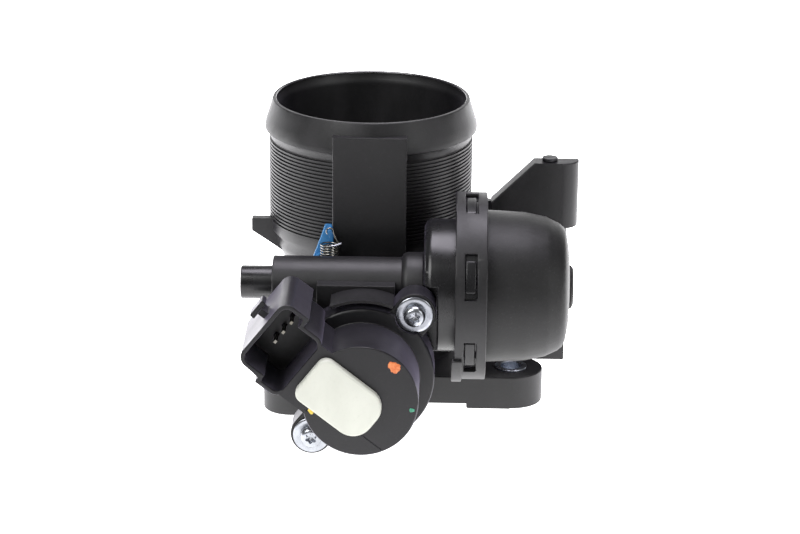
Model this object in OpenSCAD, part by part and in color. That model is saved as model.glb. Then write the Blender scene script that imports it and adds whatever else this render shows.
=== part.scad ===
// Vacuum-actuated throttle body: moulded housing, butterfly, rack and sector drive,
// diaphragm capsule and rotary position sensor.
// Origin on the duct axis at the mounting face. +Z runs up to the inlet, the sensor looks
// along -Y and the capsule lies towards +X. Millimetres throughout.

/* [Duct] */
// Height of the inlet rim above the mounting face
duct_h = 92; // [90:0.5:94]
// Inside radius of the inlet at the rim
inlet_r = 30; // [29.5:0.1:30.5]
// Radius of the throttle bore
bore_r = 24; // [23.5:0.1:24.2]
// Outside radius over the crests of the hose ribs
rib_r = 32.1; // [31.6:0.1:32.4]
// Spacing of the hose ribs
rib_pitch = 1.15; // [1.1:0.05:1.3]

/* [Throttle] */
// Height of the throttle shaft
shaft_z = 26; // [25.8:0.1:26.2]
// Radius of the throttle shaft
shaft_r = 4; // [3.9:0.05:4.1]
// Thickness of the butterfly
plate_t = 2; // [1.6:0.1:2.2]
// Running clearance between shaft and bearings, on the radius
running_gap = 0.05; // [0.02:0.01:0.08]

/* [Drive] */
// Gear module of sector and rack
gear_module = 1; // [1:1:1]
// Teeth of the full circle that the sector is cut from
gear_teeth = 28; // [28:1:28]
// Backlash between sector and rack
backlash = 0.2; // [0.15:0.05:0.3]
// Rotation of the throttle from open to shut, in degrees
throttle_travel = 80; // [60:5:80]
// Radius of the rack's round rod
rod_r = 3.5; // [3.4:0.05:3.6]

/* [Capsule] */
// Radius of the lock ring
ring_r = 28.3; // [28.2:0.1:28.8]
// Radius of the cover where it leaves the ring
cover_r = 22.9; // [22.7:0.1:23]

/* [Sensor] */
// Radius of the sensor's mounting drum
sensor_base_r = 21.4; // [21:0.1:21.6]
// Radius of the sensor's front drum
sensor_drum_r = 17; // [16.8:0.1:17.2]
// Angle of the connector below the horizontal, in degrees
sensor_tilt = 38.2; // [38:0.1:38.4]
// Distance of the sensor screws from the shaft axis
ear_reach = 24.7; // [24.6:0.1:24.8]

/* [Mounting] */
// Height of the mounting lugs
lug_h = 10.5; // [10:0.1:10.8]
// Radius of the bolt hole in each sleeve
bolt_r = 3.3; // [3:0.1:3.4]
// Outside radius of each sleeve
sleeve_r = 5.15; // [5:0.05:5.3]

/* [Hidden] */
$fn = 96;
e = 0.01;

// duct
wall_bore_r = 29;
taper_bottom_z = 50.5;
taper_top_z = 60;
lead_in_z = duct_h - 4;
bead_bottom_z = 81.5;
rib_bottom_z = 53;
rib_depth = 0.5;
rib_count = floor((bead_bottom_z - 1.2 - rib_bottom_z) / rib_pitch);
body_r = 27.5;
neck_r = 30.3;
pad_left_x = -10.8;
pad_right_x = 11.8;
pad_front_y = -33.4;
register_r = 25.2;
register_depth = 2;
flange_r = 33;
lug_step = 1.6;

// bracket and its stud
boss_x = [51.4, 65.5];
boss_y = [-12, -5.5];
boss_z = [53, 74.4];
boss_corner_r = 5;
stud_at = [56.3, -8.7];
stud_r = 2.45;
stud_shank_r = 2;
stud_proud = 1.2;

// vacuum nipple on the cover
nipple_x = 48;
nipple_z = 38;
nipple_r = 2.6;

// mounting lugs: centre x, y and radius
lugs = [[45.2, -22.4, 10], [-23.5, -32.3, 8.7], [4, 39, 9.5]];

// gear chamber and tube
chamber_r = 19.6;
chamber_bore_r = 16.8;
chamber_back_y = -42.5;
chamber_floor_y = -45;
chamber_front_y = -62.9;
tube_y = -51;
tube_z = 47.5;
tube_r = 8.2;
tube_left_x = -27.9;
collar_r = 9.8;
collar_left_x = 10.8;
capsule_left_x = 17.7;
rod_gap = 0.08;
rack_w = 6;
slot_gap = 0.3;
block_left_x = -14.1;
block_front_y = -62.6;
block_right_x = 9.1;
block_top_z = 50.8;
hood_front_y = -73.5;

// gearing
pitch_r = gear_module * gear_teeth / 2;
base_r = pitch_r * cos(20);
tip_r = pitch_r + gear_module;
root_r = pitch_r - 1.25 * gear_module;
tooth_pitch = PI * gear_module;
tooth_w = tooth_pitch / 2 - backlash / 2;
pitch_z = shaft_z + pitch_r;

// take-up spring
lever_r = 12.5;
lever_rest_angle = 215;
lever_y = -38.5;
spring_top = [-11.3, -38.5, 59.5];
coil_r = 2.75;
hanger_pin_z = 59.8;
hanger_pin_r = 0.7;

// capsule, stations along X
rod_shoulder_x = 24.3;
ring_left_x = 27.1;
base_flange_x = 27.9;
clamp_x = 29.6;
cover_flange_x = 30.8;
ring_right_x = 36.5;
cover_end_x = 61.5;
plate_gauge = 0.8;
piston_x = rod_shoulder_x + 2 * plate_gauge;
piston_face_x = piston_x + 1.8;
capsule_spring_end_x = 58.4;
shell_r = 20;
shell_bore_r = 18.4;
skirt_r = 27;
skirt_bore_r = 25.8;

// sensor, stations along Y
sensor_front_y = -93.2;
drum_back_y = -73.2;
ear_front_y = -71.5;
ear_r = 6.3;
shroud_back_y = -67.1;
shroud_floor_y = -76;
shroud_wall = 1.3;
pin_rows = [-4.7, -0.9, 2.9];
pin_across = -28.5;

// ---------------------------------------------------------------- helpers

// Cylinder along X about the rod axis, from x0 to x1
module x_cyl(x0, x1, r) {
    translate([x0, tube_y, tube_z]) rotate([0, 90, 0]) cylinder(h = x1 - x0, r = r);
}

// Solid of revolution about the rod axis from [x, radius] points
module x_rev(points) {
    translate([0, tube_y, tube_z])
        rotate([0, 90, 0])
            rotate_extrude() polygon([for (p = points) [p[1], p[0]]]);
}

// Cylinder along Y from y0 up to y1
module y_cyl(y0, y1, r, x = 0, z = shaft_z) {
    translate([x, y1, z]) rotate([90, 0, 0]) cylinder(h = y1 - y0, r = r);
}

// Solid of revolution about the shaft axis from [y, radius] points
module y_rev(points) {
    translate([0, 0, shaft_z])
        rotate([-90, 0, 0])
            rotate_extrude() polygon([for (p = points) [p[1], p[0]]]);
}

// Box given by its low and high corners
module box(low, high) {
    translate(low) cube(high - low);
}

// Frame of the tilted sensor: x across the connector, y towards the upper screw,
// z out along -Y from the given station
module sensor_frame(y0) {
    translate([0, y0, shaft_z]) rotate([90, 0, 0]) rotate([0, 0, -sensor_tilt]) children();
}

// Rectangle from its low to its high corner with its own radius at each end
module rounded_rect(low, high, r_low, r_high) {
    translate([low[0] + r_low, low[1]]) square([high[0] - low[0] - r_low - r_high, high[1] - low[1]]);
    for (end = [[low[0] + r_low, r_low], [high[0] - r_high, r_high]]) {
        translate([end[0] - end[1], low[1] + end[1]]) square([2 * end[1], high[1] - low[1] - 2 * end[1]]);
        translate([end[0], low[1] + end[1]]) circle(end[1]);
        translate([end[0], high[1] - end[1]]) circle(end[1]);
    }
}

// ---------------------------------------------------------------- housing

function duct_profile() = concat(
    [[bore_r - 2, lug_step], [body_r, lug_step], [body_r, 40], [neck_r, 46], [neck_r, 48.3]],
    [[rib_r - 0.2, 50.2], [rib_r - 0.2, rib_bottom_z]],
    [for (i = [0:rib_count - 1]) each [
        [rib_r, rib_bottom_z + i * rib_pitch + 0.1],
        [rib_r, rib_bottom_z + i * rib_pitch + 0.6],
        [rib_r - rib_depth, rib_bottom_z + i * rib_pitch + 0.75],
        [rib_r - rib_depth, rib_bottom_z + (i + 1) * rib_pitch - 0.05]
    ]],
    [[rib_r, bead_bottom_z - 1], [rib_r + 0.2, bead_bottom_z], [33.4, 82.4], [33.4, 84]],
    [[inlet_r + 1, duct_h - 0.3], [inlet_r + 0.7, duct_h], [bore_r - 2, duct_h]]
);

module duct_body() {
    rotate_extrude() polygon(duct_profile());
    box([pad_left_x, pad_front_y, 40], [pad_right_x, -20, lead_in_z]);
}

module duct_bore() {
    rotate_extrude() polygon([
        [0, -1], [bore_r, -1], [bore_r, taper_bottom_z], [wall_bore_r, taper_top_z],
        [wall_bore_r, lead_in_z], [inlet_r, duct_h - 1], [inlet_r, duct_h + 1], [0, duct_h + 1]
    ]);
}

module flange() {
    translate([0, 0, lug_step]) linear_extrude(lug_h - lug_step) {
        circle(flange_r);
        translate([0, -32.4]) square([36, 30]);
        translate([-24, -36]) square([24, 16]);
    }
    cylinder(h = lug_h, r = 30);
    for (lug = lugs) {
        translate([lug[0], lug[1], 0]) cylinder(h = lug_h, r = lug[2]);
    }
    box([31.3, lugs[0][1] - lugs[0][2], 0], [lugs[0][0], lugs[0][1] + lugs[0][2], lug_h]);
    box([lugs[2][0] - lugs[2][2], 26, 0], [lugs[2][0] + lugs[2][2], lugs[2][1], lug_h]);
}

module flange_holes() {
    for (lug = lugs) {
        translate([lug[0], lug[1], -1]) cylinder(h = lug_h + 2, r = sleeve_r);
    }
    translate([0, 0, -1]) cylinder(h = 1 + register_depth, r = register_r);
    rotate_extrude() polygon([[26.8, -1], [28.6, -1], [28.6, 1.6], [26.8, 1.6]]);
}

module hose_tab() {
    translate([0, -6.5, 0]) rotate([90, 0, 0]) linear_extrude(3)
        polygon([[-37.3, 54.2], [-37.3, 50], [-31, 46], [-27.5, 43.5], [-27.5, 54.2]]);
}

// Stud boss seen from above, rounded at its two front corners
module boss_outline() {
    front_y = boss_y[0] + boss_corner_r;
    translate([boss_x[0], front_y]) square([boss_x[1] - boss_x[0], boss_y[1] - front_y]);
    translate([boss_x[0] + boss_corner_r, boss_y[0]])
        square([boss_x[1] - boss_x[0] - 2 * boss_corner_r, boss_y[1] - boss_y[0]]);
    for (x = [boss_x[0] + boss_corner_r, boss_x[1] - boss_corner_r]) {
        intersection() {
            translate([x, front_y]) circle(boss_corner_r);
            translate([boss_x[0], boss_y[0]]) square([boss_x[1] - boss_x[0], boss_y[1] - boss_y[0]]);
        }
    }
}

// Bracket behind the capsule, with its stud boss
module bracket() {
    difference() {
        translate([0, -5.5, 0]) rotate([90, 0, 0]) linear_extrude(4)
            polygon([[28, 8], [62.4, 8], [62.4, 50], [57, 55], [57, 74.4], [51.4, 74.4], [38, 61.2],
                [28, 61.2]]);
        box([38, -12, 22], [57.5, -4, 52]);
    }
    translate([0, boss_y[1], 0]) rotate([90, 0, 0]) linear_extrude(boss_y[1] - boss_y[0])
        polygon([[38, boss_z[0]], [57, boss_z[0]], [57, boss_z[1]], [51.4, boss_z[1]], [38, 61.2]]);
    box([59.4, -5.5, 8], [62.4, 2, 50]);
    box([28, -5.5, 8], [62.4, 2, 11]);
    box([40, -14, 1.6], [50, -6, lug_h]);
    translate([0, 0, boss_z[0]]) linear_extrude(boss_z[1] - boss_z[0]) boss_outline();
}

module gear_chamber() {
    y_cyl(chamber_front_y, chamber_back_y, chamber_r);
    box([block_left_x, block_front_y, 30], [block_right_x, -44, block_top_z]);
    sensor_frame(-46) {
        for (side = [-1, 1]) {
            translate([0, side * ear_reach, 0]) cylinder(h = -46 - chamber_front_y, r = 5);
            translate([-5, min(0, side * ear_reach), 0]) cube([10, ear_reach, -46 - chamber_front_y]);
        }
    }
}

module rod_tube() {
    x_cyl(tube_left_x, collar_left_x + 1, tube_r);
    x_rev([[collar_left_x, 0], [collar_left_x, collar_r - 2], [collar_left_x + 0.6, collar_r - 0.6],
        [collar_left_x + 2, collar_r], [capsule_left_x, collar_r], [capsule_left_x, 0]]);
    box([tube_left_x, tube_y - 5.3, 36.3], [capsule_left_x, tube_y + 5.3, tube_z]);
}

module hood() {
    intersection() {
        difference() {
            y_cyl(hood_front_y, -60, 24.1);
            y_cyl(-76, -59, 23.3);
        }
        translate([0, -59, shaft_z]) rotate([90, 0, 0]) linear_extrude(17)
            polygon([[0, 0], [-12, 27], [10.9, 27]]);
    }
}

module housing_webs() {
    box([11, -46, 4], [16, -22, 42]);
    box([-14, -46, 2], [16, -28, 8]);
    box([-20, -46, 40], [-14.8, -22, 43]);
    y_cyl(-36, -20, 10.5);
    y_cyl(20, 38, 10.5);
    box([-10.5, 24, 2], [10.5, 36, shaft_z]);
}

module rod_passage() {
    x_cyl(tube_left_x - 1, -26, 6);
    x_cyl(-27, 12, rod_r + rod_gap);
    x_cyl(12 - e, capsule_left_x + 1, 6.2);
    box([-25, tube_y - rack_w / 2 - slot_gap, pitch_z - 1.7], [30, tube_y + rack_w / 2 + slot_gap, tube_z]);
}

module throttle_housing() color([0.07, 0.07, 0.075]) {
    difference() {
        union() {
            duct_body();
            flange();
            hose_tab();
            bracket();
            gear_chamber();
            rod_tube();
            hood();
            housing_webs();
        }
        duct_bore();
        flange_holes();
        y_cyl(-35, -32.6, 7.5);
        y_cyl(-32.6 - e, -20, 6.5);
        y_cyl(-37, -35 + e, 5.5);
        y_cyl(20, 34, 6.5);
        y_cyl(33, 39, 8);
        y_cyl(-46, -42, 6.5);
        y_cyl(chamber_front_y - 1, chamber_floor_y, chamber_bore_r);
        rod_passage();
        sensor_frame(-57.8) for (side = [-1, 1]) {
            translate([0, side * ear_reach, 0]) cylinder(h = 10, r = 2);
        }
        translate([stud_at[0], stud_at[1], 64]) cylinder(h = 20, r = stud_shank_r);
        box([17.6, -61.1, 20], [21, -40, 60]);
    }
}

module mounting_sleeves() color([0.72, 0.73, 0.75]) {
    for (lug = lugs) {
        translate([lug[0], lug[1], 0]) difference() {
            cylinder(h = lug_h + 0.5, r = sleeve_r);
            translate([0, 0, -1]) cylinder(h = lug_h + 3, r = bolt_r);
        }
    }
}

module flange_seal() color([0.1, 0.1, 0.1]) {
    rotate_extrude() polygon([[26.9, 0.05], [28.5, 0.05], [28.5, 1.5], [26.9, 1.5]]);
}

module bracket_stud() color([0.2, 0.2, 0.21]) {
    translate([stud_at[0], stud_at[1], 64]) cylinder(h = boss_z[1] - 64, r = stud_shank_r);
    translate([stud_at[0], stud_at[1], boss_z[1]]) cylinder(h = stud_proud, r = stud_r);
}

// ---------------------------------------------------------------- throttle

module throttle_shaft() color([0.6, 0.6, 0.62]) {
    difference() {
        union() {
            y_cyl(-54, 33.5, shaft_r);
            y_cyl(-61.5, -53.5, 3);
        }
        box([-plate_t / 2, -23.7, 20], [plate_t / 2, 23.7, 32]);
        box([3.1, -22, 20], [5, 22, 32]);
        box([2.2, -63, 20], [5, -58, 32]);
        for (y = [-10, 10]) {
            translate([-6, y, shaft_z]) rotate([0, 90, 0]) cylinder(h = 12, r = 1.5);
        }
    }
}

module throttle_plate() color([0.75, 0.74, 0.7]) {
    difference() {
        translate([-plate_t / 2, 0, shaft_z]) rotate([0, 90, 0]) cylinder(h = plate_t, r = bore_r - 0.4);
        for (y = [-10, 10]) {
            translate([-6, y, shaft_z]) rotate([0, 90, 0]) cylinder(h = 12, r = 1.5);
        }
    }
}

module plate_screws() color([0.66, 0.66, 0.68]) {
    for (y = [-10, 10]) translate([0, y, shaft_z]) rotate([0, 90, 0]) {
        translate([0, 0, -4.2]) cylinder(h = 7.4, r = 1.5);
        difference() {
            translate([0, 0, 3.1]) cylinder(h = 1.9, r = 2.7);
            translate([0, 0, 4]) cylinder(h = 2, r = 1.3, $fn = 6);
        }
    }
}

// Plain bush along Y between two stations
module bush(y0, y1, outer_r) {
    difference() {
        y_cyl(y0, y1, outer_r);
        y_cyl(y0 - 1, y1 + 1, shaft_r + running_gap);
    }
}

module front_bearing() color([0.7, 0.6, 0.4]) bush(-32.6, -25.2, 6.5);
module rear_bearing() color([0.7, 0.6, 0.4]) bush(25.2, 33, 6.5);
module gear_end_bush() color([0.7, 0.6, 0.4]) bush(-45, -42.5, 6.5);
module shaft_seal() color([0.12, 0.12, 0.12]) bush(-35, -32.7, 7.5);

module rear_bore_plug() color([0.55, 0.55, 0.57]) {
    y_cyl(35, 37, 8);
}

// ---------------------------------------------------------------- drive

function involute(angle) = tan(angle) * 180 / PI - angle;

// Half the angle that a tooth takes up at radius r
function half_tooth(r) = tooth_w / pitch_r * 90 / PI + involute(20) - involute(acos(min(1, base_r / r)));

// Half the angle that a tooth takes up at radius r, held at the base circle below it
function tooth_side(r) = half_tooth(max(r, base_r + 0.01));

// Outline of one tooth about the angle mid, from its root to its tip and back
function tooth_points(mid) =
    let (steps = 5, low_r = base_r + 0.01)
    let (radii = concat([root_r], [for (i = [0:steps]) low_r + (tip_r - low_r) * i / steps]))
    concat(
        [for (r = radii) r * [cos(mid - tooth_side(r)), sin(mid - tooth_side(r))]],
        [for (i = [len(radii) - 1:-1:0]) let (r = radii[i], a = mid + tooth_side(r)) r * [cos(a), sin(a)]]
    );

tooth_angle = 360 / gear_teeth;
first_tooth = -1;
last_tooth = 7;

// Sector seen from the sensor side: teeth from just past the mesh point round to the left
module sector_gear() color([0.86, 0.84, 0.78]) {
    difference() {
        union() {
            translate([0, -48, shaft_z]) rotate([90, 0, 0]) linear_extrude(rack_w) {
                polygon(concat([[0, 0]],
                    [for (i = [first_tooth:last_tooth]) each tooth_points(90 + i * tooth_angle)]));
                circle(8);
            }
            y_cyl(-54, -46, 8);
        }
        y_cyl(-60, -40, shaft_r);
        translate([0, -40, shaft_z]) rotate([90, 0, 0])
            for (angle = [105, 130, 155]) translate(10.2 * [cos(angle), sin(angle), 0])
                cylinder(h = 20, r = 1.3);
    }
}

module gear_nut() color([0.6, 0.6, 0.62]) {
    difference() {
        translate([0, -54, shaft_z]) rotate([90, 0, 0]) cylinder(h = 3, r = 5, $fn = 6);
        y_cyl(-60, -50, 3);
    }
}

// Lever with the spring's hook hole, clamped on the shaft behind the gear chamber
module spring_lever() color([0.5, 0.5, 0.52]) {
    pin = lever_r * [cos(lever_rest_angle), sin(lever_rest_angle)];
    difference() {
        union() {
            y_cyl(-41.8, -36.6, 6.4);
            y_cyl(lever_y - 1, lever_y + 1, 2.4, pin[0], shaft_z + pin[1]);
            translate([0, lever_y + 1, shaft_z]) rotate([90, 0, 0]) rotate([0, 0, lever_rest_angle])
                translate([0, -2.4, 0]) cube([lever_r, 4.8, 2]);
        }
        y_cyl(-44, -34, shaft_r);
        y_cyl(-44, -34, 0.8, pin[0], shaft_z + pin[1]);
    }
}

// Flat wire in the plane of the lever through [x, z] points
module spring_wire(points) {
    translate([0, lever_y + 0.25, 0]) rotate([90, 0, 0]) linear_extrude(0.5) polygon(points);
}

// Extension spring from the hanger's pin down to the lever
module take_up_spring() color([0.35, 0.36, 0.38]) {
    pin = lever_r * [cos(lever_rest_angle), sin(lever_rest_angle)];
    low_z = shaft_z + pin[1] + 3.5;
    x = spring_top[0];
    eye_z = hanger_pin_z + hanger_pin_r + 0.1;
    translate([x, spring_top[1], 34]) difference() {
        cylinder(h = 22, r = coil_r + 0.25);
        translate([0, 0, -1]) cylinder(h = 24, r = coil_r - 0.35);
    }
    spring_wire([[x + 2.45, 55.5], [x + 2.95, 55.5], [x + 2.95, 58.6], [x - 0.7, eye_z + 0.5],
        [x - 0.7, eye_z], [x + 2.45, 58.3]]);
    spring_wire([[x - 2.9, 34.2], [x - 2.4, 34.2], [pin[0] + 0.3, low_z + 0.3], [pin[0] + 0.3, low_z],
        [pin[0] - 0.3, low_z]]);
}

// Moulded post beside the spring that carries its upper eye
module spring_hanger() color([0.1, 0.32, 0.68]) {
    box([-19.7, -41.5, 43], [-15.2, -34, 46]);
    translate([spring_top[0], spring_top[1], 43]) difference() {
        cylinder(h = 9, r = 4.6);
        translate([0, 0, -1]) cylinder(h = 12, r = 3.4);
        box([0.6, -6, -1], [6, 6, 12]);
        box([-6, -6, -1], [6, -1.2, 12]);
    }
    translate([0, -34.2, 0]) rotate([90, 0, 0]) linear_extrude(1.2)
        polygon([[-16.6, 43], [-16.6, 50.5], [-14.4, 56.5], [-12.9, 61], [-10.9, 61], [-10.2, 58.6],
            [-10.6, 50], [-10.6, 43]]);
    y_cyl(-40, -35, hanger_pin_r, spring_top[0], hanger_pin_z);
}

function rack_points(x0, x1) =
    let (half = tooth_w / 2, slope = tan(20), add = gear_module, ded = 1.25 * gear_module)
    let (first = ceil((x0 + 1.2) / tooth_pitch - 0.5), last = floor((x1 - 1.2) / tooth_pitch - 0.5))
    concat(
        [[x0, tube_z], [x0, pitch_z + ded]],
        [for (i = [first:last]) let (mid = (i + 0.5) * tooth_pitch) each [
            [mid - half - ded * slope, pitch_z + ded], [mid - half + add * slope, pitch_z - add],
            [mid + half - add * slope, pitch_z - add], [mid + half + ded * slope, pitch_z + ded]
        ]],
        [[x1, pitch_z + ded], [x1, tube_z]]
    );

module rack_rod() color([0.86, 0.84, 0.78]) {
    x_cyl(-25.5, rod_shoulder_x, rod_r);
    x_cyl(rod_shoulder_x - e, rod_shoulder_x + 7, 2);
    translate([0, tube_y + rack_w / 2, 0]) rotate([90, 0, 0]) linear_extrude(rack_w)
        polygon(rack_points(-24, 4.2));
}

module vent_nipple() color([0.2, 0.2, 0.21]) {
    x_rev([[-37.6, 3.3], [-37.6, 4.7], [-37.2, 5.1], [tube_left_x, 5.1], [tube_left_x, 6], [-26.1, 6],
        [-26.1, 3.3]]);
}

// ---------------------------------------------------------------- capsule

// Angle phi runs from the top of the capsule towards the front
module ring_sector(x0, x1, r0, r1, phi, width) {
    intersection() {
        x_rev([[x0, r0], [x0, r1], [x1, r1], [x1, r0]]);
        translate([x0 - 1, tube_y, tube_z]) rotate([phi, 0, 0]) rotate([90, 0, 90])
            linear_extrude(x1 - x0 + 2)
            polygon([[0, 0], [2 * r1 * sin(-width / 2), 2 * r1 * cos(width / 2)],
                [2 * r1 * sin(width / 2), 2 * r1 * cos(width / 2)]]);
    }
}

// Middle of each snap window and of the tab in it, upper, front and lower first
window_angles = [7.5, 65.8, 122.2, 182, 240, 300];
tab_angles = [11.2, 65.8, 118.8, 182, 240, 300];
window_w = 28.5;
tab_w = 20;

module capsule_base() color([0.16, 0.16, 0.17]) {
    difference() {
        union() {
            x_rev([[capsule_left_x, 0], [capsule_left_x, shell_r - 2.4],
                [capsule_left_x + 0.7, shell_r - 0.7],
                [capsule_left_x + 2.4, shell_r], [base_flange_x, shell_r], [base_flange_x, skirt_r],
                [35, skirt_r], [35, 0]]);
            x_cyl(12, capsule_left_x + 1, 6.2);
            for (phi = tab_angles) ring_sector(30.1, 33.2, skirt_r - 0.5, 28, phi, tab_w);
        }
        x_cyl(clamp_x, 36, skirt_bore_r);
        x_cyl(24, 36, shell_bore_r);
        difference() {
            x_cyl(20.2, 30, shell_bore_r - 1.5);
            box([10, -90, 20], [40, -59, 80]);
        }
        box([10, -90, 20], [21.9, -61, 53.2]);
        x_cyl(10, 30, rod_r + rod_gap);
        box([10, tube_y - rack_w / 2 - slot_gap, pitch_z - 1.7],
            [30, tube_y + rack_w / 2 + slot_gap, tube_z]);
    }
}

module lock_ring() color([0.1, 0.1, 0.105]) {
    difference() {
        x_rev([[ring_left_x, skirt_r + 0.05], [ring_left_x, ring_r], [ring_right_x, ring_r],
            [ring_right_x, cover_r + 0.5], [35.4, cover_r + 0.5], [35.4, skirt_r + 0.05]]);
        for (phi = window_angles) ring_sector(29.9, 33.6, 26, 30, phi, window_w);
    }
    ring_sector(ring_left_x - 0.8, ring_left_x + 2.3, ring_r - 0.6, ring_r + 0.9, 139, 34);
}

module capsule_cover() color([0.08, 0.08, 0.085]) {
    difference() {
        x_rev([[cover_flange_x, 21.2], [cover_flange_x, 25.7], [35.3, 25.7], [35.3, cover_r],
            [cover_end_x - 24, cover_r],
            [48, cover_r - 0.5], [54.3, 21.1], [58.2, 19.2], [59.6, 18], [60.4, 16.4], [61.2, 12],
                [cover_end_x, 7],
            [cover_end_x, 0], [59.2, 0], [58.6, 14.5], [57.2, 17], [53.6, 19.3], [47.5, 20.7], [37.5, 21.2]]);
        y_cyl(-35, -28, nipple_r, nipple_x, nipple_z);
        x_cyl(56, 63, 3);
    }
    difference() {
        y_cyl(-33.5, -29, 4.4, nipple_x, nipple_z);
        y_cyl(-36, -28, nipple_r, nipple_x, nipple_z);
    }
}

module cover_plug() color([0.05, 0.05, 0.05]) {
    x_rev([[cover_end_x, 0], [cover_end_x, 6.6], [cover_end_x + 0.6, 6.5], [cover_end_x + 1.2, 5.6],
        [cover_end_x + 1.2, 0]]);
    x_cyl(57.5, cover_end_x + e, 3);
}

module vacuum_nipple() color([0.1, 0.1, 0.1]) {
    difference() {
        union() {
            y_cyl(-33, -13, nipple_r, nipple_x, nipple_z);
            y_cyl(-29, -27.5, 4, nipple_x, nipple_z);
        }
        y_cyl(-40, -10, 1.5, nipple_x, nipple_z);
    }
}

// Rolling diaphragm: bead clamped in the flange, centre clamped on the piston
module diaphragm() color([0.12, 0.12, 0.12]) {
    x0 = rod_shoulder_x + plate_gauge;
    x_rev([[x0, 2.05], [x0, 14.6], [x0 + 1, 15.8], [clamp_x - 0.6, 16.6], [clamp_x, 17.4], [clamp_x, 25.6],
        [cover_flange_x, 25.6], [cover_flange_x, 16.6], [clamp_x - 0.2, 15.8], [x0 + 1.5, 15.1],
        [x0 + plate_gauge, 14.4], [x0 + plate_gauge, 2.05]]);
}

module diaphragm_plate() color([0.6, 0.6, 0.6]) {
    difference() {
        x_cyl(rod_shoulder_x, rod_shoulder_x + plate_gauge, 13.5);
        x_cyl(rod_shoulder_x - 1, rod_shoulder_x + 3, 2.05);
    }
}

module diaphragm_piston() color([0.3, 0.3, 0.3]) {
    x_rev([[piston_x, 2.05], [piston_x, 13.8], [piston_x + 1, 14.5], [piston_x + 6, 14.5],
        [piston_x + 6, 13.1],
        [piston_face_x, 13.1], [piston_face_x, 2.05]]);
}

module rod_nut() color([0.6, 0.6, 0.62]) {
    difference() {
        translate([piston_face_x, tube_y, tube_z]) rotate([0, 90, 0]) cylinder(h = 3.2, r = 4.04, $fn = 6);
        x_cyl(20, 40, 2);
    }
}

// Compression spring between piston and cover
module capsule_spring() color([0.5, 0.5, 0.52]) {
    x_rev([[piston_face_x, 8.4], [piston_face_x, 11.6], [capsule_spring_end_x, 11.6],
        [capsule_spring_end_x, 8.4]]);
}

// ---------------------------------------------------------------- sensor

module shroud_outline(inset) {
    rounded_rect([-36.2 + inset, -12.6 + inset], [-27 - inset, 10.6 - inset], 3.6 - inset, 0.5);
    rounded_rect([-27.7 + inset, -14.5 + inset], [-18.5 - inset, 7.8 - inset], 0.5, 3.6 - inset);
    translate([-30, -12.6 + inset]) square([6, 20.4 - 2 * inset]);
}

module pin_solids() {
    for (row = pin_rows) {
        sensor_frame(-75) translate([pin_across - 0.4, row - 0.5, 0]) cube([0.8, 1, 7]);
        sensor_frame(-74.4) translate([pin_across - 0.4, row - 0.5, 0]) cube([17, 1, 0.7]);
    }
}

module sensor_body() color([0.09, 0.09, 0.095]) {
    difference() {
        union() {
            y_rev([[-59.5, 0], [-59.5, 16.7], [chamber_front_y, 16.7], [chamber_front_y, sensor_base_r],
                [drum_back_y + 0.6, sensor_base_r], [drum_back_y, sensor_base_r - 0.6],
                    [drum_back_y, sensor_drum_r],
                [sensor_front_y + 0.4, sensor_drum_r], [sensor_front_y, sensor_drum_r - 0.4],
                    [sensor_front_y, 0]]);
            sensor_frame(chamber_front_y) for (side = [-1, 1]) {
                translate([0, side * ear_reach, 0]) cylinder(h = chamber_front_y - ear_front_y, r = ear_r);
                translate([-ear_r, min(0, side * ear_reach), 0])
                    cube([2 * ear_r, ear_reach, chamber_front_y - ear_front_y]);
            }
            sensor_frame(shroud_back_y) {
                linear_extrude(shroud_back_y - sensor_front_y) shroud_outline(0);
                translate([-20, -13.2, 0]) cube([12, 19.8, shroud_back_y - sensor_front_y]);
            }
            sensor_frame(-80) {
                translate([-38.6, 0.2, 0]) cube([3, 2, 6]);
                translate([-40, -2, 0]) cube([1.6, 6, 5.5]);
            }
        }
        sensor_frame(shroud_floor_y) linear_extrude(30) shroud_outline(shroud_wall);
        sensor_frame(ear_front_y) for (side = [-1, 1]) {
            translate([0, side * ear_reach, 0]) cylinder(h = 4, r = 5.8);
        }
        y_cyl(-72, -50, 13);
        y_cyl(-91.4, -74, 15);
        y_cyl(-95, -91.4 + e, 16.2);
        y_rev([[-61.9, 15], [-61.9, 18], [-60.3, 18], [-60.3, 15]]);
        sensor_frame(-60) for (side = [-1, 1]) {
            translate([0, side * ear_reach, 0]) cylinder(h = 14, r = 3.2);
        }
        pin_solids();
    }
}

module sensor_cover() color([0.1, 0.1, 0.105]) {
    difference() {
        y_cyl(sensor_front_y, -91.4, 16.2);
        sensor_frame(sensor_front_y + 0.3) {
            translate([2, -8.1, 0]) cube([16, 0.4, 2]);
            translate([-14, -12.2, 0]) cube([5, 0.4, 2]);
        }
    }
}

module sensor_vent_cap() color([0.86, 0.87, 0.82]) {
    sensor_frame(sensor_front_y) linear_extrude(2.5) rounded_rect([-17.2, -10.5], [7, 5.2], 3, 6.1);
}

module sensor_seal() color([0.25, 0.12, 0.08]) {
    y_rev([[-61.8, 15.05], [-61.8, 16.75], [-60.4, 16.75], [-60.4, 15.05]]);
}

module sensor_rotor() color([0.3, 0.3, 0.32]) {
    difference() {
        union() {
            y_cyl(-71, -57.5, 6.5);
            y_cyl(-71, -67.5, 11.5);
        }
        difference() {
            y_cyl(-62.5, -57, 3);
            box([2.2, -63, 20], [5, -58, 32]);
        }
        y_rev([[-71.5, 8], [-71.5, 10.5], [-68.5, 10.5], [-68.5, 8]]);
    }
}

module rotor_magnet() color([0.25, 0.25, 0.26]) {
    y_rev([[-71, 8], [-71, 10.5], [-68.5, 10.5], [-68.5, 8]]);
}

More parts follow.
